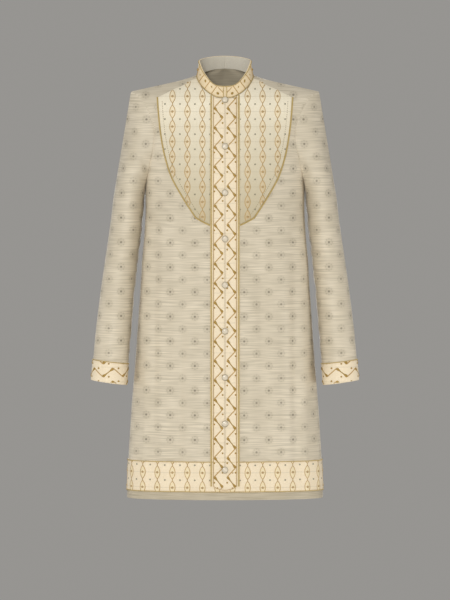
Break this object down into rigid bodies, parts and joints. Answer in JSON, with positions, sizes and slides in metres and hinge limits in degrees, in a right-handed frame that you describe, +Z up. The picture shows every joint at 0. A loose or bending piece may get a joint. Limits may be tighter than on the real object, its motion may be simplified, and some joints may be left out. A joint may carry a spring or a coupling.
{
  "type": "sherwani coat, filled out as worn",
  "caption": "Knee-length coat with a stand collar, buttoned front placket, embroidered bib, cuffs and hem band, hollow as worn.",
  "frame": {"origin": "middle of the neck, level with the neck ends of the shoulder seams, where a wearer holds the coat up", "axes": "+Z up, the front faces -Y, the wearer's left is at +X"},
  "size_m": [0.6434, 0.3203, 1.0581],
  "materials": {
    "dupion_silk": "slubbed silk with a soft sheen and a small woven dot motif",
    "embroidered_silk": "cream silk closely embroidered in gold-brown thread",
    "gold_braid": "dull gold thread, twisted and couched down",
    "pearl_button": "domed pearl-grey, polished"
  },
  "bodies": {
    "root": {"front_left": "dupion_silk", "front_right": "dupion_silk", "back": "dupion_silk", "sleeve_left": "dupion_silk", "sleeve_right": "dupion_silk", "collar": "embroidered_silk", "bib_left": "embroidered_silk", "bib_right": "embroidered_silk", "placket": "embroidered_silk", "cuff_left": "embroidered_silk", "cuff_right": "embroidered_silk", "hem_band_left": "embroidered_silk", "hem_band_right": "embroidered_silk", "hem_band_back": "embroidered_silk", "bib_braid_left": "gold_braid", "bib_braid_right": "gold_braid", "placket_braid_left": "gold_braid", "placket_braid_right": "gold_braid", "button_1": "pearl_button", "button_2": "pearl_button", "button_3": "pearl_button", "button_4": "pearl_button", "button_5": "pearl_button", "button_6": "pearl_button", "button_7": "pearl_button", "button_8": "pearl_button", "button_9": "pearl_button"}
  },
  "joints": []
}
